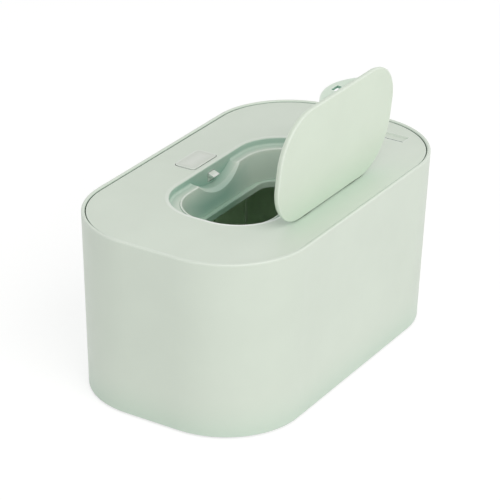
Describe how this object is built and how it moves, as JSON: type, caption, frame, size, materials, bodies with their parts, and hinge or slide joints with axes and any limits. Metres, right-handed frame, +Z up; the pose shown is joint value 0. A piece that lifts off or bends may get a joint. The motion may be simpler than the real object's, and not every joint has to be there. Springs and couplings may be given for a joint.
{
  "type": "baby wipe warmer",
  "caption": "Round-ended countertop warmer for baby wipes, with a lift-off top, an inner tank, a flip lid opened by a push button and a heater in the base.",
  "frame": {"origin": "bottom centre of the housing's plan, at the height of the surface that the feet stand on", "axes": "+X along the long side, -Y towards the push button, +Y towards the lid's hinge, +Z up"},
  "size_m": [0.22, 0.131, 0.167],
  "materials": {
    "mint_shell": "fine satin moulding",
    "mint_inner": "satin moulding",
    "tank_plastic": "satin moulding, dark grey-green",
    "base_plastic": "spark-eroded matt",
    "black_plastic": "moulded nylon",
    "lens_plastic": "frosted diffuser",
    "silicone": "matt silicone",
    "feet_rubber": "matt rubber",
    "spring_steel": "drawn wire",
    "screw_steel": "zinc plated",
    "heat_aluminium": "rolled sheet",
    "heater_foil": "polyimide film over etched foil",
    "insulation": "closed-cell foam",
    "board": "solder-masked board",
    "wire_brown": "wire insulation",
    "wire_red": "wire insulation"
  },
  "bodies": {
    "housing": {"outer_shell": "mint_shell", "base_plate": "base_plastic", "base_screws": "screw_steel", "rubber_feet": "feet_rubber", "inner_tank": "tank_plastic", "heat_plate": "heat_aluminium", "heater_film": "heater_foil", "insulation_pad": "insulation", "thermal_cutout": "black_plastic", "temperature_sensor": "black_plastic", "control_board": "board", "board_screws": "screw_steel", "indicator_lens": "lens_plastic", "power_inlet": "black_plastic", "inlet_pins": "screw_steel", "inlet_leads": "wire_brown", "heater_leads": "wire_red"},
    "power_button": {"mode_button": "mint_inner"},
    "top_cover": {"cover_panel": "mint_shell", "mouth_ring": "mint_inner", "cover_seal": "silicone", "hinge_pins": "screw_steel", "lid_springs": "spring_steel", "latch_guide": "mint_inner", "guide_screws": "screw_steel", "button_springs": "spring_steel"},
    "button": {"push_button": "mint_shell"},
    "latch": {"latch_slider": "mint_shell"},
    "flip_lid": {"lid_shell": "mint_shell", "lid_liner": "mint_inner", "lid_gasket": "silicone"}
  },
  "joints": [
    {"name": "cover_lift", "type": "slide", "parent": "housing", "child": "top_cover", "axis": [0, 0, 1], "range_m": [0, 0.06]},
    {"name": "lid_hinge", "type": "hinge", "parent": "top_cover", "child": "flip_lid", "pos_m": [0.0018, 0.0392, 0.0972], "axis": [1, 0, 0], "range_deg": [0, 95.5], "stiffness_Nm_per_rad": 0.0075, "springref_deg": -28.65},
    {"name": "button_press", "type": "slide", "parent": "top_cover", "child": "button", "axis": [0, 0, -1], "range_m": [0, 0.002], "stiffness_N_per_m": 400, "springref_m": -0.002, "deforming": ["button_springs"]},
    {"name": "latch_slide", "type": "slide", "parent": "top_cover", "child": "latch", "axis": [0, -1, 0], "range_m": [0, 0.0025]},
    {"name": "power_press", "type": "slide", "parent": "housing", "child": "power_button", "axis": [0, 1, 0], "range_m": [0, 0.0008], "stiffness_N_per_m": 600, "springref_m": -0.001}
  ],
  "couplings": [
    {"joint": "latch_slide", "follows": "button_press", "ratio": 1.2}
  ]
}
